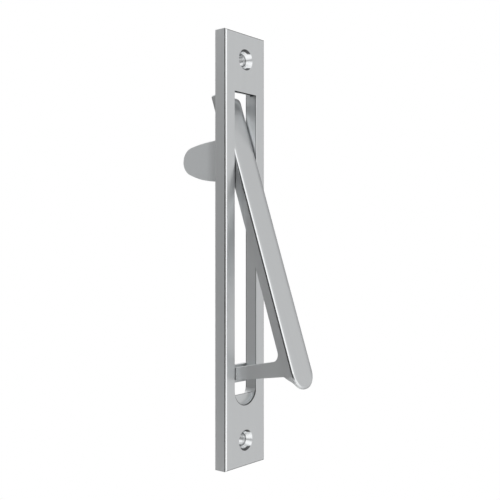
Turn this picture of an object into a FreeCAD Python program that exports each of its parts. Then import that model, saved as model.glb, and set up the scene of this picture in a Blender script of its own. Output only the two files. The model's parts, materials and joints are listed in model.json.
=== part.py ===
import FreeCAD, Part
import math
import os

# Rocking edge pull for a pocket door, in millimetres.
# +X runs across the face plate, +Y back into the door edge, +Z up.
# The origin is the middle of the plate's back face, where it seats on the door edge.
# The lever stands open, the way it is pulled; it shuts by turning back about its pin.

# Face plate
plate_height = 158.75
plate_width = 22.2
plate_thickness = 5.08
plate_front_round = 0.75

# Slot through the plate, and the shallow rest for the lever's tip below it
slot_width = 12.2
slot_top_margin = 21.85       # from the plate's top end down to the slot
slot_top_relief = 10.0        # the slot's top wall climbs towards the back, clear of the lever
rest_bottom_margin = 22.55    # from the plate's bottom end up to the tip rest
rest_height = 3.95            # from the rest's lowest point up to the ledge's front edge
rest_depth = 1.5
ledge_back_slope = 20.0       # the ledge's top falls away towards the back
slot_edge_break = 0.2

# Countersunk screw holes, one near each end
screw_end_distance = 9.525
screw_hole_diameter = 3.9
countersink_diameter = 7.7
countersink_angle = 82.0

# Ears cast on the plate's back, one on each side of the slot
ear_reach = 18.6
ear_root_height = 14.9
ear_root_drop = 0.3           # the root's middle lies this far below the pin
ear_tip_round = 5.35
ear_tip_rise = 0.3            # the tip's middle lies this far above the pin
ear_thickness = 2.5
ear_root_round = 1.0
ear_flare = 1.9
ear_flare_length = 5.2
ear_edge_round = 0.35

# Pivot pin, blind in the left ear and flush with the right one
pivot_below_slot_top = 24.75
pivot_behind_plate = 4.64
pin_diameter = 3.175
pin_blind_depth = 1.6
pin_end_chamfer = 0.25
pin_running_clearance = 0.05

# Friction washers, one in each gap between an ear and the lever's lug
washer_thickness = 0.6
washer_outer_diameter = 8.0
washer_play = 0.1

# Lever
lever_side_clearance = 0.25
lever_top_gap = 0.8
lever_tip_gap = 1.25
lever_proud = 0.1             # the shut lever stands this far out of the plate
bar_thickness = 4.1
bar_front_round = 0.75
bar_top_front_round = 3.5
tip_thickness = 1.4
lug_round = 4.2
lug_root_height = 15.0
arm_root_thickness = 5.6
arm_rise_angle = 8.4
arm_taper_angle = 3.0         # between the arm's top and bottom, which draw together to the foot
arm_height_above_ledge = 3.0
arm_bar_fillet = 2.8
arm_gusset_fillet = 1.2
gusset_height = 3.0
gusset_tip_fillet = 1.5
open_angle = 18.5

# Foot on the arm's end, which meets the back of the plate when the lever is open
foot_thickness = 2.3
foot_height = 6.6
foot_overlap = 1.45           # how far it reaches behind the plate on each side
foot_stop_gap = 0.15
foot_edge_round = 0.6

edge_tolerance = 0.01         # how near an edge lies to a plane to be picked for rounding

plate_top = plate_height / 2
plate_front = -plate_thickness
slot_top = plate_top - slot_top_margin
rest_bottom = -plate_top + rest_bottom_margin
rest_floor = plate_front + rest_depth
ledge_top = rest_bottom + rest_height
pivot_z = slot_top - pivot_below_slot_top
pivot_y = pivot_behind_plate
slot_half = slot_width / 2
lever_width = slot_width - 2 * lever_side_clearance
lever_half = lever_width / 2
lug_width = slot_width - 2 * (washer_thickness + washer_play)
lever_top = slot_top - lever_top_gap
lever_bottom = rest_bottom + lever_tip_gap
lever_front_y = plate_front - lever_proud
bar_back = lever_front_y + bar_thickness
tip_back = lever_front_y + tip_thickness


def vec(x, y, z):
    return FreeCAD.Vector(x, y, z)


def rounded_outline(corners):
    """Closed side outline in the YZ plane from (y, z, corner radius), straight runs joined by arcs."""
    count = len(corners)
    runs = []
    for i in range(count):
        y, z, radius = corners[i]
        corner = vec(0, y, z)
        back = (vec(0, *corners[i - 1][:2]) - corner).normalize()
        ahead = (vec(0, *corners[(i + 1) % count][:2]) - corner).normalize()
        half_turn = back.getAngle(ahead) / 2
        cut = radius / math.tan(half_turn)
        middle = (back + ahead).normalize() * (radius / math.sin(half_turn) - radius)
        runs.append((corner + back * cut, corner + middle, corner + ahead * cut, radius))
    edges = []
    for i in range(count):
        start, middle, end, radius = runs[i]
        if radius > 0:
            edges.append(Part.Arc(start, middle, end).toShape())
        edges.append(Part.LineSegment(end, runs[(i + 1) % count][0]).toShape())
    return Part.Wire(edges)


def across(wire, width):
    """Solid of an outline in the YZ plane, carried across by a width that the plane halves."""
    face = Part.Face(wire)
    face.translate(vec(-width / 2, 0, 0))
    return face.extrude(vec(width, 0, 0))


def cylinder_across(radius, x_from, x_to, y, z):
    return Part.makeCylinder(radius, x_to - x_from, vec(x_from, y, z), vec(1, 0, 0))


def round_edges(solid, radius, chosen):
    """Fillet the edges for which chosen(bounding box) is true."""
    edges = [edge for edge in solid.Edges if chosen(edge.BoundBox)]
    return solid.makeFillet(radius, edges)


def about_pin(solid, angle):
    """Turn a solid about the pin; a positive angle swings the lever's lower end outwards."""
    turned = solid.copy()
    turned.rotate(vec(0, pivot_y, pivot_z), vec(1, 0, 0), -angle)
    return turned


def plate_blank():
    blank = Part.makeBox(
        plate_width, plate_thickness, plate_height,
        vec(-plate_width / 2, plate_front, -plate_top))
    return round_edges(blank, plate_front_round, lambda box: box.YMax < plate_front + edge_tolerance)


def slot_cutter():
    """Round-ended slot: shallow below the ledge, and right through the plate above it."""
    beyond = plate_thickness
    high = slot_top + beyond
    round_z = rest_bottom + slot_half
    low = vec(0, 0, rest_bottom)
    left = vec(-slot_half, 0, round_z)
    right = vec(slot_half, 0, round_z)
    face = Part.Face(Part.Wire([
        Part.Arc(left, low, right).toShape(),
        Part.LineSegment(right, vec(slot_half, 0, high)).toShape(),
        Part.LineSegment(vec(slot_half, 0, high), vec(-slot_half, 0, high)).toShape(),
        Part.LineSegment(vec(-slot_half, 0, high), left).toShape()]))
    face.translate(vec(0, plate_front - beyond, 0))
    front_shape = face.extrude(vec(0, 2 * beyond + plate_thickness, 0))
    fall = math.tan(math.radians(ledge_back_slope))
    climb = math.tan(math.radians(slot_top_relief))
    side_shape = across(rounded_outline([
        (plate_front - beyond, rest_bottom - beyond, 0),
        (rest_floor, rest_bottom - beyond, 0),
        (rest_floor, ledge_top, 0),
        (beyond, ledge_top - fall * (beyond - rest_floor), 0),
        (beyond, slot_top + climb * (beyond - plate_front), 0),
        (plate_front - beyond, slot_top - climb * beyond, 0)]), plate_width)
    return front_shape.common(side_shape)


def screw_hole_cutter(z):
    """Straight hole under a cone, both opening to the front."""
    big = countersink_diameter / 2
    small = screw_hole_diameter / 2
    depth = (big - small) / math.tan(math.radians(countersink_angle / 2))
    forward = vec(0, 1, 0)
    hole = Part.makeCylinder(small, 2 * plate_thickness, vec(0, plate_front, z), forward)
    cone = Part.makeCone(big, small, depth, vec(0, plate_front, z), forward)
    return hole.fuse(cone)


def ear_outline():
    """Side outline of an ear: root rounds, two long flank arcs and the tip round, all tangent."""
    tip_y = ear_reach - ear_tip_round
    tip_z = pivot_z + ear_tip_rise
    root_z = pivot_z - ear_root_drop
    tip_centre = vec(0, tip_y, tip_z)
    side = {}
    for sign in (1, -1):
        flank_z = root_z + sign * ear_root_height / 2
        rise = sign * (flank_z - tip_z)
        span = tip_y - ear_root_round
        radius = (span ** 2 + rise ** 2 - ear_tip_round ** 2) / (2 * (rise - ear_tip_round))
        flank_centre = vec(0, ear_root_round, flank_z - sign * radius)
        start = vec(0, ear_root_round, flank_z)
        towards = (tip_centre - flank_centre).normalize()
        end = flank_centre + towards * radius
        middle = flank_centre + ((start - flank_centre) + (end - flank_centre)).normalize() * radius
        root_centre = vec(0, ear_root_round, flank_z + sign * ear_root_round)
        root_start = vec(0, 0, root_centre.z)
        root_middle = root_centre + vec(0, -1, -sign).normalize() * ear_root_round
        side[sign] = (root_start, root_middle, start, middle, end)
    top = side[1]
    low = side[-1]
    tip = vec(0, ear_reach, tip_z)
    return Part.Wire([
        Part.Arc(top[0], top[1], top[2]).toShape(),
        Part.Arc(top[2], top[3], top[4]).toShape(),
        Part.Arc(top[4], tip, low[4]).toShape(),
        Part.Arc(low[4], low[3], low[2]).toShape(),
        Part.Arc(low[2], low[1], low[0]).toShape(),
        Part.LineSegment(low[0], top[0]).toShape()])


def ear(side):
    """One ear: even in thickness at its tip, its outer face flaring out where it joins the plate."""
    inner = slot_half
    outer = inner + ear_thickness
    flare_radius = (ear_flare ** 2 + ear_flare_length ** 2) / (2 * ear_flare)
    lean = math.asin(ear_flare_length / flare_radius) / 2
    flare_middle = vec(
        outer + flare_radius * (1 - math.cos(lean)), ear_flare_length - flare_radius * math.sin(lean), 0)
    section = Part.Wire([
        Part.LineSegment(vec(inner, 0, 0), vec(outer + ear_flare, 0, 0)).toShape(),
        Part.Arc(vec(outer + ear_flare, 0, 0), flare_middle, vec(outer, ear_flare_length, 0)).toShape(),
        Part.LineSegment(vec(outer, ear_flare_length, 0), vec(outer, ear_reach, 0)).toShape(),
        Part.LineSegment(vec(outer, ear_reach, 0), vec(inner, ear_reach, 0)).toShape(),
        Part.LineSegment(vec(inner, ear_reach, 0), vec(inner, 0, 0)).toShape()])
    above_flank = 2 * ear_root_round
    height = ear_root_height + 2 * above_flank
    bar = Part.Face(section)
    bar.translate(vec(0, 0, pivot_z - ear_root_drop - height / 2))
    bar = bar.extrude(vec(0, 0, height))
    body = bar.common(across(ear_outline(), 2 * plate_width))
    body = round_edges(
        body, ear_edge_round,
        lambda box: box.XMin > outer - edge_tolerance
        and box.XMax < outer + edge_tolerance
        and box.YMax > ear_reach - edge_tolerance)
    if side < 0:
        return body.mirror(vec(0, 0, 0), vec(1, 0, 0))
    return body


def face_plate():
    """Plate, slot, screw holes and both ears in one casting."""
    body = plate_blank().cut(slot_cutter())
    body = round_edges(
        body, slot_edge_break,
        lambda box: box.YMax < plate_front + edge_tolerance
        and box.XMin > -slot_half - edge_tolerance and box.XMax < slot_half + edge_tolerance)
    for end in (1, -1):
        body = body.cut(screw_hole_cutter(end * (plate_top - screw_end_distance)))
    body = body.fuse([ear(-1), ear(1)])
    pin_hole = cylinder_across(
        pin_diameter / 2, -slot_half - pin_blind_depth, plate_width, pivot_y, pivot_z)
    return body.cut(pin_hole).removeSplitter()


def pivot_pin():
    start = -slot_half - pin_blind_depth
    end = slot_half + ear_thickness
    pin = cylinder_across(pin_diameter / 2, start, end, pivot_y, pivot_z)
    return pin.makeChamfer(pin_end_chamfer, [edge for edge in pin.Edges if edge.Closed])


def friction_washer(side):
    """Flat washer lying against an ear's inner face, around the pin."""
    faces = sorted((side * slot_half, side * (slot_half - washer_thickness)))
    disc = cylinder_across(washer_outer_diameter / 2, faces[0], faces[1], pivot_y, pivot_z)
    hole_radius = pin_diameter / 2 + pin_running_clearance
    return disc.cut(cylinder_across(hole_radius, -plate_width, plate_width, pivot_y, pivot_z))


def arm_edge(start_z, angle):
    """Top or bottom line of the arm, lever shut, from the bar's back to the middle of the foot."""
    rise = math.radians(angle)
    turn = math.radians(open_angle)
    start = vec(0, bar_back, start_z)
    along = vec(0, math.cos(rise), math.sin(rise))
    from_pin = start - vec(0, pivot_y, pivot_z)
    open_start = pivot_y + from_pin.y * math.cos(turn) + from_pin.z * math.sin(turn)
    open_slope = along.y * math.cos(turn) + along.z * math.sin(turn)
    length = (foot_stop_gap + foot_thickness / 2 - open_start) / open_slope
    return start, start + along * length


def arm_edges():
    """Both lines of the arm, top first."""
    low_z = ledge_top + arm_height_above_ledge
    half_taper = arm_taper_angle / 2
    return (arm_edge(low_z + arm_root_thickness, arm_rise_angle - half_taper),
            arm_edge(low_z, arm_rise_angle + half_taper))


def lever_side():
    """Side outline of the bar with its hooked arm, lever shut."""
    (high, far_high), (low, far_low) = arm_edges()
    return rounded_outline([
        (lever_front_y, lever_bottom, 0),
        (lever_front_y, lever_top, bar_top_front_round),
        (bar_back, lever_top, 0),
        (bar_back, high.z, arm_bar_fillet),
        (far_high.y, far_high.z, 0),
        (far_low.y, far_low.z, 0),
        (bar_back, low.z, arm_gusset_fillet),
        (tip_back, low.z - gusset_height, gusset_tip_fillet),
        (tip_back, lever_bottom, 0)])


def lever_front():
    """Front shape of the lever: parallel sides ending below in a half round."""
    round_z = lever_bottom + lever_half
    low = vec(0, 0, lever_bottom)
    left = vec(-lever_half, 0, round_z)
    right = vec(lever_half, 0, round_z)
    wire = Part.Wire([
        Part.Arc(left, low, right).toShape(),
        Part.LineSegment(right, vec(lever_half, 0, lever_top)).toShape(),
        Part.LineSegment(vec(lever_half, 0, lever_top), vec(-lever_half, 0, lever_top)).toShape(),
        Part.LineSegment(vec(-lever_half, 0, lever_top), left).toShape()])
    face = Part.Face(wire)
    face.translate(vec(0, lever_front_y, 0))
    return face.extrude(vec(0, plate_height, 0))


def lug():
    """Boss round the pin, standing on the back of the bar between the ears."""
    root = lug_root_height / 2
    reach = pivot_y - bar_back
    span = math.hypot(reach, root)
    swing = math.atan2(root, reach)
    turn = math.acos(lug_round / span)
    touch_angle = math.pi - swing - turn
    touch_y = lug_round * math.cos(touch_angle)
    touch_z = lug_round * math.sin(touch_angle)
    inside = bar_back - bar_thickness / 2
    wire = Part.Wire([
        Part.LineSegment(vec(0, inside, pivot_z - root), vec(0, inside, pivot_z + root)).toShape(),
        Part.LineSegment(vec(0, inside, pivot_z + root), vec(0, bar_back, pivot_z + root)).toShape(),
        Part.LineSegment(
            vec(0, bar_back, pivot_z + root), vec(0, pivot_y + touch_y, pivot_z + touch_z)).toShape(),
        Part.Arc(
            vec(0, pivot_y + touch_y, pivot_z + touch_z), vec(0, pivot_y + lug_round, pivot_z),
            vec(0, pivot_y + touch_y, pivot_z - touch_z)).toShape(),
        Part.LineSegment(
            vec(0, pivot_y + touch_y, pivot_z - touch_z), vec(0, bar_back, pivot_z - root)).toShape(),
        Part.LineSegment(vec(0, bar_back, pivot_z - root), vec(0, inside, pivot_z - root)).toShape()])
    return across(wire, lug_width)


def foot():
    """Cross-piece on the arm's end, lever open, square to the plate that it stops against."""
    top, bottom = arm_edges()
    arm_end = about_pin(Part.Vertex((top[1] + bottom[1]) / 2), open_angle).Point
    block = Part.makeBox(
        2 * (slot_half + foot_overlap), foot_thickness, foot_height,
        vec(-slot_half - foot_overlap, foot_stop_gap, arm_end.z - foot_height / 2))
    return round_edges(
        block, foot_edge_round, lambda box: box.YMin > foot_stop_gap + foot_thickness - edge_tolerance)


def lever():
    """Bar, arm, gusset and lug in one casting, turned open about the pin, with its foot."""
    body = across(lever_side(), lever_width).common(lever_front())
    body = round_edges(
        body, bar_front_round,
        lambda box: (box.YMax < lever_front_y + bar_top_front_round + edge_tolerance
                     and (box.XMin > lever_half - edge_tolerance
                          or box.XMax < -lever_half + edge_tolerance)
                     and box.ZMax > lever_bottom + lever_half + edge_tolerance)
        or (box.YMax < lever_front_y + edge_tolerance
            and box.ZMax < lever_bottom + lever_half + edge_tolerance))
    body = body.fuse(lug()).removeSplitter()
    body = about_pin(body, open_angle).fuse(foot()).removeSplitter()
    bore = pin_diameter / 2 + pin_running_clearance
    return body.cut(cylinder_across(bore, -plate_width, plate_width, pivot_y, pivot_z))


def main():
    os.makedirs("parts", exist_ok=True)
    nodes = {
        "face_plate": face_plate(),
        "lever": lever(),
        "pivot_pin": pivot_pin(),
        "friction_washer_left": friction_washer(-1),
        "friction_washer_right": friction_washer(1),
    }
    for name, shape in nodes.items():
        if len(shape.Solids) != 1:
            raise ValueError(f"{name} has {len(shape.Solids)} solids")
        solid = shape.Solids[0]
        solid.exportStep(f"parts/{name}.step")
        print(f"{name}: volume {solid.Volume:.1f} mm3, valid {solid.isValid()}")


main()
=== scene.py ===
import json
import math
import bpy
import numpy as np
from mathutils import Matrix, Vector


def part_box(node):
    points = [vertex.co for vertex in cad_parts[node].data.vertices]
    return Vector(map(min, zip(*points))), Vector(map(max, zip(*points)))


# Dresses a rocking edge pull for a pocket door: a satin nickel face plate and a hooked lever on a steel pin.
# +X runs across the plate, +Y back into the door edge, +Z up. The scene is in metres.

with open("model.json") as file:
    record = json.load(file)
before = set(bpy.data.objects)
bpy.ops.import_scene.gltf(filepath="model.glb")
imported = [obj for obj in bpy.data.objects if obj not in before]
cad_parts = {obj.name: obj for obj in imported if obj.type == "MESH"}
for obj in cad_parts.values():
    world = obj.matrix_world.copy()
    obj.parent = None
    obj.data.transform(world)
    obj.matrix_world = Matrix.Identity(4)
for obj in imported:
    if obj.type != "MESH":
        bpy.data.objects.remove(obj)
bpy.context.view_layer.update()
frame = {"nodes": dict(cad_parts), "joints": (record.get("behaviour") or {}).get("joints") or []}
nodes = frame["nodes"]
print("frame loaded:", ", ".join(sorted(nodes)))

millimetre = 0.001
reliefDepth = 0.02 * millimetre    # how deep brush lines and grain are


def linearColour(hexText):
    # An sRGB hex value as the linear red, green, blue and alpha that shaders take
    channels = [int(hexText[i:i + 2], 16) / 255 for i in (1, 3, 5)]
    return [c / 12.92 if c <= 0.04045 else ((c + 0.055) / 1.055) ** 2.4 for c in channels] + [1.0]


def addNode(tree, kind, settings=None, links=None):
    # Adds one node; links maps an input's name or number to a plain value or to the socket that feeds it
    node = tree.nodes.new(kind)
    for setting, value in (settings or {}).items():
        setattr(node, setting, value)
    for key, value in (links or {}).items():
        if isinstance(value, bpy.types.NodeSocket):
            tree.links.new(value, node.inputs[key])
        else:
            node.inputs[key].default_value = value
    return node


def emptyMaterial(name):
    material = bpy.data.materials.new(name)
    material.use_nodes = True
    material.node_tree.nodes.clear()
    return material, material.node_tree


def compassDirection(azimuth, elevation=0.0):
    # Unit vector: azimuth turns from straight in front of the part (-Y) towards its left (-X), in degrees
    turn, rise = math.radians(azimuth), math.radians(elevation)
    return (-math.sin(turn) * math.cos(rise), -math.cos(turn) * math.cos(rise), math.sin(rise))


# Camera: a product shot from the left at the part's own mid height
photoView = {
    "standsAt": (-0.2265, -0.1938, 0.0),
    "turn": 50.5,              # degrees to the right of straight at the plate
    "focalPixels": 802.4,      # focal length in pixels of the picture
    "picturePixels": 500,
    "sensorWidth": 36.0,
    "nearest": 0.01,
}


def addCamera(look):
    data = bpy.data.cameras.new("photoCamera")
    data.sensor_width = look["sensorWidth"]
    data.lens = look["focalPixels"] / look["picturePixels"] * look["sensorWidth"]
    data.clip_start = look["nearest"]
    camera = bpy.data.objects.new("photoCamera", data)
    camera.location = look["standsAt"]
    camera.rotation_euler = (math.radians(90), 0, -math.radians(look["turn"]))
    bpy.context.scene.collection.objects.link(camera)
    bpy.context.scene.camera = camera


addCamera(photoView)
print("camera placed")


# Studio: soft panels all round the part, a white backdrop behind it, a softbox above and a pale floor.
# A panel has its middle azimuth and half width, its lowest and highest elevation, how soft its edges are,
# all in degrees, and its brightness, where 1 is white. Later panels stand in front of earlier ones.
studio = {
    "ringLevel": 0.66,
    "panels": {
        "back": (180, 36, -90, 90, 12, 0.84),
        "backdrop": (-137, 16, -90, 90, 10, 1.0),
        "frontRight": (-50, 30, -80, 80, 10, 0.665),
        "rightFlag": (-97, 21, -62, 62, 6, 0.12),
        "rightSoft": (-96, 12, -20, 20, 8, 0.42),
        "keyStrip": (3, 25, -90, 90, 14, 1.2),
        "leftFlag": (98, 44, -20, 28, 8, 0.07),
        "cameraSide": (37, 25, -90, 90, 6, 1.27),
        "cameraGap": (49, 11, -10, 10, 6, 0.15),
        "leftStrip": (130.4, 1.3, -24, 24, 1.2, 1.4),
        "leftHigh": (150, 32, 24, 90, 10, 1.3),
        "ceiling": (0, 180, 52, 90, 10, 0.95),
        "ground": (15, 75, -90, -52, 10, 1.2),
        "lowBack": (180, 60, -90, -30, 10, 0.15),
        "leftLow": (154, 12, -46, -26, 6, 1.2),
    },
}
softboxes = {
    "overhead": {"azimuth": 0, "elevation": 88, "distance": 1.3, "width": 0.8, "height": 0.8, "level": 0.45},
}
floorLook = {
    "height": -0.40,
    "halfSide": 0.5,
    "colour": "#F1F1F0",
    "roughness": 0.9,
    "shadowRadius": 0.12,      # the soft shadow shows inside this radius and fades out to the white round it
    "whiteRadius": 0.30,
}


def product(tree, *shares):
    result = shares[0]
    for share in shares[1:]:
        result = addNode(tree, "ShaderNodeMath", {"operation": "MULTIPLY"}, {0: result, 1: share}).outputs[0]
    return result


def inside(tree, value, span):
    # 0 outside the first and last of a span's four values and 1 between its middle two, with smooth changes
    # from the one to the other; a side whose values are None stays open
    start, full, lastFull, end = span
    ways = [way for way in ((start, full), (end, lastFull)) if way[0] is not None]
    shares = [addNode(tree, "ShaderNodeMapRange", {"interpolation_type": "SMOOTHSTEP"}, {
        "Value": value, "From Min": way[0], "From Max": way[1]}).outputs["Result"] for way in ways]
    return product(tree, *shares) if shares else 1.0


def panelShare(tree, horizontal, height, panel):
    # 1 inside a panel and 0 outside it: from the angle to its middle azimuth, and from the elevation
    azimuth, halfWidth, low, high, softness = panel[:5]
    before, after = -softness / 2, softness / 2
    middle = addNode(tree, "ShaderNodeVectorMath", {"operation": "DOT_PRODUCT"},
                     {0: horizontal, 1: compassDirection(azimuth)}).outputs["Value"]
    sides = [math.cos(math.radians(halfWidth + soft)) if halfWidth < 180 else None
             for soft in (after, before)]
    bottom = [math.sin(math.radians(low + soft)) if low > -90 else None for soft in (before, after)]
    top = [math.sin(math.radians(high + soft)) if high < 90 else None for soft in (before, after)]
    return product(tree, inside(tree, middle, (*sides, None, None)), inside(tree, height, (*bottom, *top)))


def seenOrMirrored(tree, mirrored):
    # 1 for what the camera sees, and a given share for what metal and glass show
    ray = addNode(tree, "ShaderNodeLightPath").outputs
    shiny = addNode(tree, "ShaderNodeMath", {"operation": "MAXIMUM"}, {
        0: ray["Is Glossy Ray"], 1: ray["Is Transmission Ray"]}).outputs[0]
    return addNode(tree, "ShaderNodeMath", {"operation": "MAXIMUM"}, {
        0: ray["Is Camera Ray"], 1: product(tree, shiny, mirrored)}).outputs[0]


def buildStudioWorld(look):
    # The camera sees plain white all round; metal and glass see it where the backdrop stands
    world = bpy.data.worlds.new("softStudio")
    world.use_nodes = True
    tree = world.node_tree
    tree.nodes.clear()
    direction = addNode(tree, "ShaderNodeTexCoord").outputs["Object"]
    height = addNode(tree, "ShaderNodeSeparateXYZ", links={0: direction}).outputs["Z"]
    level = addNode(tree, "ShaderNodeVectorMath", {"operation": "MULTIPLY"}, {0: direction, 1: (1, 1, 0)})
    horizontal = addNode(tree, "ShaderNodeVectorMath", {"operation": "NORMALIZE"},
                         {0: level.outputs[0]}).outputs[0]
    shares = {name: panelShare(tree, horizontal, height, panel) for name, panel in look["panels"].items()}
    layers = [(shares[name], panel[-1]) for name, panel in look["panels"].items()]
    layers.append((seenOrMirrored(tree, shares["backdrop"]), 1.0))
    brightness = look["ringLevel"]
    for share, panelLevel in layers:
        brightness = addNode(tree, "ShaderNodeMix", {"data_type": "FLOAT"}, {
            0: share, 2: brightness, 3: panelLevel}).outputs[0]
    shader = addNode(tree, "ShaderNodeBackground", links={
        "Color": linearColour("#FFFFFF"), "Strength": brightness})
    addNode(tree, "ShaderNodeOutputWorld", links={"Surface": shader.outputs[0]})
    bpy.context.scene.world = world


def addSoftbox(name, look):
    # An area lamp of one square metre shines at level 1 with pi watts
    data = bpy.data.lights.new(name, "AREA")
    data.shape = "RECTANGLE"
    data.size = look["width"]
    data.size_y = look["height"]
    data.energy = look["level"] * math.pi * look["width"] * look["height"]
    lamp = bpy.data.objects.new(name, data)
    towards = np.array(compassDirection(look["azimuth"], look["elevation"]))
    lamp.location = towards * look["distance"]
    lamp.rotation_euler = (math.radians(90 - look["elevation"]), 0, math.radians(-look["azimuth"]))
    lamp.visible_camera = False
    bpy.context.scene.collection.objects.link(lamp)


def addFloor(look):
    # A square of four corners, one half side from the middle each way, level at its height
    corners = np.array([(-1, -1), (1, -1), (1, 1), (-1, 1)]) * look["halfSide"]
    points = np.column_stack([corners, np.full(len(corners), look["height"])])
    mesh = bpy.data.meshes.new("paleFloor")
    mesh.from_pydata(points.tolist(), [], [(0, 1, 2, 3)])
    floor = bpy.data.objects.new("paleFloor", mesh)
    bpy.context.scene.collection.objects.link(floor)
    # Matt painted board: it takes a soft shadow under the part and fades out into the white round it
    material, tree = emptyMaterial("mattPaintedBoard")
    place = addNode(tree, "ShaderNodeTexCoord").outputs["Object"]
    flat = addNode(tree, "ShaderNodeVectorMath", {"operation": "MULTIPLY"}, {0: place, 1: (1, 1, 0)})
    radius = addNode(tree, "ShaderNodeVectorMath", {"operation": "LENGTH"}, {0: flat.outputs[0]})
    away = inside(tree, radius.outputs["Value"], (look["shadowRadius"], look["whiteRadius"], None, None))
    matt = addNode(tree, "ShaderNodeBsdfPrincipled", links={
        "Base Color": linearColour(look["colour"]), "Roughness": look["roughness"]})
    clear = addNode(tree, "ShaderNodeBsdfTransparent")
    shader = addNode(tree, "ShaderNodeMixShader", links={
        0: product(tree, seenOrMirrored(tree, 1.0), away), 1: matt.outputs[0], 2: clear.outputs[0]})
    addNode(tree, "ShaderNodeOutputMaterial", links={"Surface": shader.outputs[0]})
    mesh.materials.append(material)


buildStudioWorld(studio)
for boxName, boxLook in softboxes.items():
    addSoftbox(boxName, boxLook)
addFloor(floorLook)
print("studio lit")


# Finishes that the plate and the lever share. Spans are in millimetres and each has four values: where
# something starts, where it is full, where it stops being full and where it ends.
# For each part of a surface: the Mix node's data type and the numbers of its first input and its output
surfaceMixes = {"colour": ("RGBA", 6, 2), "roughness": ("FLOAT", 2, 0), "relief": ("FLOAT", 2, 0)}


def layOver(tree, surface, share, finish):
    # Lays a finish over a surface where its share is 1: a colour, a roughness, a relief or some of them
    for part, value in finish.items():
        dataType, first, result = surfaceMixes[part]
        surface[part] = addNode(tree, "ShaderNodeMix", {"data_type": dataType}, {
            0: share, first: surface[part], first + 1: value}).outputs[result]


def layShades(tree, surface, look, measures):
    # Paints shade into the colour: darkens the recesses, edges and corners listed in the look's shades, where
    # shadow would fall
    for shade in look["shades"]:
        spans = [inside(tree, measures[name], span) for name, span in shade["spans"].items()]
        share = product(tree, *spans)
        layOver(tree, surface, product(tree, share, shade["darkness"]), {
            "colour": linearColour(look["paintedShadeColour"])})
        if "roughness" in shade:
            layOver(tree, surface, share, {"roughness": shade["roughness"]})


def brushLines(tree, place, look, turn=0.0, centre=(0, 0, 0)):
    # Fine scratches along the piece: noise squeezed across and drawn out lengthwise, in real millimetres
    spacing = look["brushSpacing"] * millimetre
    drawnOut = look["brushLength"] * millimetre
    mapped = addNode(tree, "ShaderNodeMapping", {"vector_type": "TEXTURE"}, {
        "Vector": place, "Location": centre, "Rotation": (turn, 0, 0), "Scale": (spacing, spacing, drawnOut)})
    return addNode(tree, "ShaderNodeTexNoise", {"noise_dimensions": "3D"}, {
        "Vector": mapped.outputs[0], "Scale": 1.0, "Detail": 4.0, "Roughness": 0.6}).outputs[0]


def fineGrain(tree, place, size):
    # The orange-peel grain that a die leaves on unbrushed metal or on moulded plastic
    return addNode(tree, "ShaderNodeTexNoise", {"noise_dimensions": "3D"}, {
        "Vector": place, "Scale": 1.0 / (size * millimetre), "Detail": 2.0, "Roughness": 0.5}).outputs[0]


def unevenRoughness(tree, noise, middle, spread):
    # A roughness that goes a little up and down with a noise
    return addNode(tree, "ShaderNodeMapRange", links={
        "Value": noise, "To Min": middle - spread, "To Max": middle + spread}).outputs["Result"]


def brushedMetal(tree, look, lines):
    # The brushed surface that the other finishes are laid over: each line is a touch brighter or duller
    surface = {"colour": linearColour(look["colour"]), "relief": lines,
               "roughness": unevenRoughness(tree, lines, look["roughness"], look["brushSpread"])}
    layOver(tree, surface, product(tree, lines, look["lineContrast"]), {
        "colour": linearColour(look["polishedColour"])})
    return surface


def layPolishAndCast(tree, surface, look, polished, cast, grain, between=()):
    # Buffed edges first, then what lies between, then the cast back over all of them
    layOver(tree, surface, polished, {
        "colour": linearColour(look["polishedColour"]), "roughness": look["polishedRoughness"]})
    for share, finish in between:
        layOver(tree, surface, share, finish)
    layOver(tree, surface, cast, {
        "colour": linearColour(look["castColour"]), "relief": grain,
        "roughness": unevenRoughness(tree, grain, look["castRoughness"], look["grainSpread"])})


def finishMetal(tree, surface, bumpStrength, form=None):
    links = {"Strength": bumpStrength, "Distance": reliefDepth, "Height": surface["relief"]}
    if form:
        links["Normal"] = form
    bump = addNode(tree, "ShaderNodeBump", links=links)
    shader = addNode(tree, "ShaderNodeBsdfPrincipled", links={
        "Base Color": surface["colour"], "Metallic": 1.0, "Roughness": surface["roughness"],
        "Normal": bump.outputs[0]})
    addNode(tree, "ShaderNodeOutputMaterial", links={"Surface": shader.outputs[0]})


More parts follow.
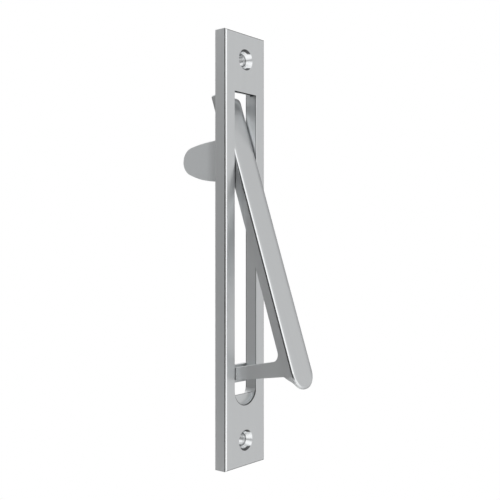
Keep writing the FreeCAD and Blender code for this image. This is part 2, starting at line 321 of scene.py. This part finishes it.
# Face plate. Depth is measured from its front face, across, upright and height from its middle, and the
# rest round the axis of the nearer screw hole or of the tip rest.
plateLook = {
    "colour": "#DBDDDE",
    "polishedColour": "#E4E6E7",
    "castColour": "#DDDFE0",
    "coneColour": "#E4E6E7",
    "paintedShadeColour": "#2C2D2E",     # painted shade: the dark colour that stands in for shadow in recesses and along edges
    "roughness": 0.36,
    "polishedRoughness": 0.16,
    "castRoughness": 0.8,
    "coneRoughness": 0.30,
    "boreRoughness": 0.34,
    "brushSpread": 0.05,           # how far the brush lines move the roughness
    "grainSpread": 0.06,
    "lineContrast": 0.5,
    "bumpStrength": 0.15,
    "plainRelief": 0.5,            # the middle of the relief, where there are no lines
    "brushSpacing": 0.9,           # real brush lines are about 0.1 mm apart, drawn coarser so that they show
    "brushLength": 28.0,
    "castGrain": 0.35,
    "holeFromEnd": 9.525,
    "restHeight": -50.725,
    "outerEdge": (None, None, 0.525, 0.825),       # in from the front face and from a side or an end
    "screwCone": (None, None, 3.81, 3.89),
    "screwBore": (None, None, 1.95, 1.98),
    "castBack": (5.02, 5.06, None, None),
    "shades": [
        # Painted shade on the slot's top wall
        {"darkness": 0.97, "roughness": 0.95, "spans": {
            "across": (None, None, 6.31, 6.35), "height": (57.485, 57.525, 58.785, 58.825),
            "depth": (0.03, 0.07, 3.008, 3.048)}},
        # Painted shade on the rim of the tip rest's wall, and a painted dark line along its edge
        {"darkness": 0.88, "roughness": 0.95, "spans": {
            "aroundRest": (6.02, 6.06, 6.31, 6.35), "height": (None, None, -52.875, -50.875),
            "depth": (0.02, 0.06, 0.41, 0.45)}},
        {"darkness": 0.6, "spans": {
            "aroundRest": (6.08, 6.12, 6.38, 6.42), "height": (None, None, -53.875, -51.875),
            "depth": (None, None, 0.21, 0.25)}},
        # Painted shade in a thin ring at the foot of the screw cones, and in dark arcs on their upper and
        # lower rims
        {"darkness": 0.7, "spans": {
            "aroundHole": (1.97, 2.01, 2.29, 2.33), "depth": (None, None, 2.6, 3.1)}},
        {"darkness": 0.85, "roughness": 0.6, "spans": {
            "aroundHole": (3.0, 3.15, 3.75, 3.9), "upright": (72.15, 72.65, None, None),
            "depth": (None, None, 2.5, 3.0)}},
        {"darkness": 0.85, "roughness": 0.6, "spans": {
            "aroundHole": (3.0, 3.15, 3.75, 3.9), "upright": (None, None, 67.05, 67.55),
            "depth": (None, None, 2.5, 3.0)}},
        # Painted shade at the foot of the slot's side walls, and painted dark lines along the ledge's edge
        # and the walls' front and back rims
        {"darkness": 0.2, "spans": {
            "across": (6.0, 6.04, 6.16, 6.2), "height": (-52.875, -51.875, -46.875, -45.875),
            "depth": (0.3, 0.34, 5.04, 5.08)}},
        {"darkness": 0.5, "spans": {
            "across": (None, None, 6.31, 6.35), "height": (-53.125, -53.085, -52.815, -52.775),
            "depth": (1.4, 1.44, 1.56, 1.6)}},
        {"darkness": 0.4, "spans": {
            "across": (6.0, 6.04, 6.31, 6.35), "height": (-52.875, -52.835, 57.485, 57.525),
            "depth": (0.05, 0.09, 0.46, 0.5)}},
        {"darkness": 0.4, "spans": {
            "across": (6.0, 6.04, 6.31, 6.35), "height": (-52.875, -52.835, 57.485, 57.525),
            "depth": (4.63, 4.67, 5.04, 5.08)}},
        # Painted shade at the ears' roots on the plate's back
        {"darkness": 0.26, "spans": {
            "across": (8.0, 8.4, None, None), "depth": (5.08, 5.18, 6.58, 12.08)}},
    ],
}


def aroundAxis(tree, place, height):
    # Distance from an axis that runs straight through the plate at a height on its middle line
    fromAxis = addNode(tree, "ShaderNodeVectorMath", {"operation": "SUBTRACT"}, {0: place, 1: (0, 0, height)})
    flat = addNode(tree, "ShaderNodeVectorMath", {"operation": "MULTIPLY"}, {
        0: fromAxis.outputs[0], 1: (1, 0, 1)})
    length = addNode(tree, "ShaderNodeVectorMath", {"operation": "LENGTH"}, {0: flat.outputs[0]})
    return length.outputs["Value"]


def satinNickelPlate(look):
    # Satin nickel plating on die-cast zinc, brushed lengthwise: a soft grey with faint upright scratches.
    # The buffed front edges and the machined screw cones are glossier, the cast back and ears are duller.
    material, tree = emptyMaterial("satinNickelPlate")
    low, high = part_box("face_plate")
    place = addNode(tree, "ShaderNodeTexCoord").outputs["Object"]
    ruler = addNode(tree, "ShaderNodeMapping", {"vector_type": "TEXTURE"}, {
        "Vector": place, "Location": (0, low[1], 0), "Scale": [millimetre] * 3}).outputs[0]
    mirrored = addNode(tree, "ShaderNodeVectorMath", {"operation": "ABSOLUTE"}, {0: ruler}).outputs[0]
    inwards = addNode(tree, "ShaderNodeVectorMath", {"operation": "SUBTRACT"}, {
        0: [reach / millimetre for reach in high], 1: mirrored}).outputs[0]
    signed, fromMiddle, fromOutside = [
        addNode(tree, "ShaderNodeSeparateXYZ", links={0: vector}).outputs
        for vector in (ruler, mirrored, inwards)]
    measures = {
        "across": fromMiddle["X"], "upright": fromMiddle["Z"], "depth": signed["Y"], "height": signed["Z"],
        "aroundHole": aroundAxis(tree, mirrored, high[2] / millimetre - look["holeFromEnd"]),
        "aroundRest": aroundAxis(tree, ruler, look["restHeight"]),
    }
    # How far a point lies from the sharp corner that the front edge would have without its round
    fromSideOrEnd = addNode(tree, "ShaderNodeMath", {"operation": "MINIMUM"}, {
        0: fromOutside["X"], 1: fromOutside["Z"]}).outputs[0]
    fromCorner = addNode(tree, "ShaderNodeMath", {"operation": "MAXIMUM"}, {
        0: measures["depth"], 1: fromSideOrEnd}).outputs[0]
    polished = inside(tree, fromCorner, look["outerEdge"])
    cone = inside(tree, measures["aroundHole"], look["screwCone"])
    bore = inside(tree, measures["aroundHole"], look["screwBore"])
    cast = inside(tree, measures["depth"], look["castBack"])
    surface = brushedMetal(tree, look, brushLines(tree, place, look))
    layPolishAndCast(tree, surface, look, polished, cast, fineGrain(tree, place, look["castGrain"]), [
        (cone, {"colour": linearColour(look["coneColour"]), "roughness": look["coneRoughness"],
                "relief": look["plainRelief"]}),
        (bore, {"roughness": look["boreRoughness"]})])
    # painted shade in the slot, the tip rest, the screw cones and at the ear roots
    layShades(tree, surface, look, measures)
    finishMetal(tree, surface, look["bumpStrength"])
    return material


# Lever. Spans are measured in its own directions from the pin, as if it stood shut.
leverLook = {
    "colour": "#DBDDDE",
    "polishedColour": "#E4E6E7",
    "castColour": "#DBDDDE",
    "paintedShadeColour": "#2C2D2E",     # painted shade: the dark colour that stands in for shadow on the flanks beside the pin
    "roughness": 0.36,
    "polishedRoughness": 0.16,
    "castRoughness": 0.42,
    "brushSpread": 0.05,
    "grainSpread": 0.06,
    "lineContrast": 0.5,
    "bumpStrength": 0.15,
    "brushSpacing": 0.9,
    "brushLength": 28.0,
    "castGrain": 0.35,
    "openAngle": 18.5,             # degrees that the lever stands open
    "frontEdge": (None, None, -9.295, -8.995),
    "sideEdge": (5.025, 5.325, None, None),
    "castBack": (-5.82, -4.82, None, None),
    "shades": [
        # Painted shade on the flanks beside the pin
        {"darkness": 0.55, "spans": {
            "across": (5.75, 5.79, 5.91, 5.95), "along": (-24.0, -9.0, 14.0, 30.0),
            "through": (-9.22, -9.07, None, None)}},
    ],
    "rollFrom": 3.65,              # brushing rolls the front face off from here across to the sides
    "rollTo": 8.05,                # past the ends of the foot
    "rollSlope": 0.60,             # how steep the roll-off is at its end; the bar's sides are halfway into it
}


def satinNickelLever(look):
    # The same satin nickel, brushed along the lever, with buffed front edges and a duller cast back and arm
    material, tree = emptyMaterial("satinNickelLever")
    pin = frame["joints"][0]["pos_m"]
    turn = -math.radians(look["openAngle"])
    place = addNode(tree, "ShaderNodeTexCoord").outputs["Object"]
    ruler = addNode(tree, "ShaderNodeMapping", {"vector_type": "TEXTURE"}, {
        "Vector": place, "Location": pin, "Rotation": (turn, 0, 0), "Scale": [millimetre] * 3}).outputs[0]
    mirrored = addNode(tree, "ShaderNodeVectorMath", {"operation": "ABSOLUTE"}, {0: ruler}).outputs[0]
    signed = addNode(tree, "ShaderNodeSeparateXYZ", links={0: ruler}).outputs
    measures = {
        "across": addNode(tree, "ShaderNodeSeparateXYZ", links={0: mirrored}).outputs["X"],
        "through": signed["Y"], "along": signed["Z"],
    }
    polished = product(tree, inside(tree, measures["through"], look["frontEdge"]),
                       inside(tree, measures["across"], look["sideEdge"]))
    cast = inside(tree, measures["through"], look["castBack"])
    surface = brushedMetal(tree, look, brushLines(tree, place, look, turn, pin))
    layPolishAndCast(tree, surface, look, polished, cast, fineGrain(tree, place, look["castGrain"]))
    # painted shade on the lever's flanks beside the pin
    layShades(tree, surface, look, measures)
    # The roll-off falls with the square of the way into it, so that its slope grows evenly to the side
    intoRoll = addNode(tree, "ShaderNodeMapRange", links={
        "Value": measures["across"], "From Min": look["rollFrom"],
        "From Max": look["rollTo"]}).outputs["Result"]
    fall = look["rollSlope"] / 2 * (look["rollTo"] - look["rollFrom"]) * millimetre
    rolled = addNode(tree, "ShaderNodeBump", {"invert": True}, {
        "Strength": 1.0, "Distance": fall, "Height": product(tree, intoRoll, intoRoll)}).outputs[0]
    finishMetal(tree, surface, look["bumpStrength"], rolled)
    return material


def dress(nodeName, material):
    for slot in nodes[nodeName].material_slots:
        slot.material = material


dress("face_plate", satinNickelPlate(plateLook))
dress("lever", satinNickelLever(leverLook))
print("plate and lever plated")


# Pivot pin
pinLook = {
    "colour": "#B9BABB",
    "roughness": 0.22,
    "roughnessSpread": 0.06,
    "bumpStrength": 0.1,
    "turningSpacing": 0.3,         # in mm
    "turningStretch": 20,          # the rings are this much longer round the pin than they are apart
}


def groundSteelPin(look):
    # Centreless-ground steel rod: a clean bright grey with fine rings round it
    material, tree = emptyMaterial("groundSteelPin")
    place = addNode(tree, "ShaderNodeTexCoord").outputs["Object"]
    spacing = look["turningSpacing"] * millimetre
    drawnOut = spacing * look["turningStretch"]
    mapped = addNode(tree, "ShaderNodeMapping", {"vector_type": "TEXTURE"}, {
        "Vector": place, "Scale": (spacing, drawnOut, drawnOut)})
    rings = addNode(tree, "ShaderNodeTexNoise", {"noise_dimensions": "3D"}, {
        "Vector": mapped.outputs[0], "Scale": 1.0, "Detail": 3.0}).outputs[0]
    surface = {"colour": linearColour(look["colour"]), "relief": rings,
               "roughness": unevenRoughness(tree, rings, look["roughness"], look["roughnessSpread"])}
    finishMetal(tree, surface, look["bumpStrength"])
    return material


# Friction washers
washerLook = {
    "colour": "#DAD5C6",
    "roughness": 0.48,
    "roughnessSpread": 0.07,
    "bumpStrength": 0.15,
    "lightBending": 1.53,          # nylon's index of refraction
    "grain": 0.4,                  # in mm
}


def mouldedNylonWasher(look):
    # Natural moulded nylon: milky off-white, slightly waxy, with a very fine die grain
    material, tree = emptyMaterial("mouldedNylonWasher")
    place = addNode(tree, "ShaderNodeTexCoord").outputs["Object"]
    grain = fineGrain(tree, place, look["grain"])
    bump = addNode(tree, "ShaderNodeBump", links={
        "Strength": look["bumpStrength"], "Distance": reliefDepth, "Height": grain})
    shader = addNode(tree, "ShaderNodeBsdfPrincipled", links={
        "Base Color": linearColour(look["colour"]), "IOR": look["lightBending"],
        "Roughness": unevenRoughness(tree, grain, look["roughness"], look["roughnessSpread"]),
        "Normal": bump.outputs[0]})
    addNode(tree, "ShaderNodeOutputMaterial", links={"Surface": shader.outputs[0]})
    return material


dress("pivot_pin", groundSteelPin(pinLook))
nylon = mouldedNylonWasher(washerLook)
dress("friction_washer_left", nylon)
dress("friction_washer_right", nylon)
print("pin and washers finished")

bpy.context.scene.view_settings.view_transform = "Standard"
